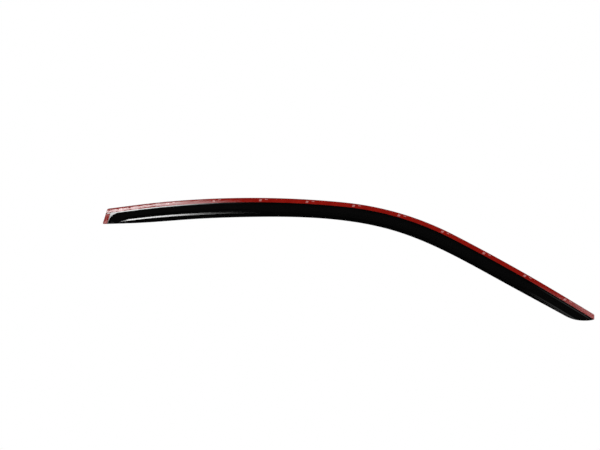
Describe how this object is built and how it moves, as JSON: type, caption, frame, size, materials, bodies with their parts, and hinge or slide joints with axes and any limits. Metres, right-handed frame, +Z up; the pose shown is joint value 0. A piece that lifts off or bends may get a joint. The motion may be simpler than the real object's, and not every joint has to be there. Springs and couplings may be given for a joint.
{
  "type": "window rain deflector",
  "caption": "Slim arched side-window rain deflector in gloss black acrylic, a formed bulge with a flat taped flange, for sticking along the top and front pillar of a car door's window frame.",
  "frame": {"origin": "on the exposed face of the top tape's liner, at the middle of the tape's width, under the highest point of the top edge", "axes": "+X towards the front of the car, along the deflector; +Y outwards, away from the door that it sticks to; +Z up"},
  "size_m": [0.9668, 0.0167, 0.2424],
  "materials": {
    "smoked_acrylic": "polished, very dark smoke, reads as black",
    "tape_foam": "matte closed-cell acrylic foam",
    "liner_film": "smooth red release film with faint pale ticks"
  },
  "bodies": {
    "root": {"visor_shell": "smoked_acrylic", "top_foam_tape": "tape_foam", "top_tape_liner": "liner_film", "rear_foam_tape": "tape_foam", "rear_tape_liner": "liner_film"}
  },
  "joints": []
}
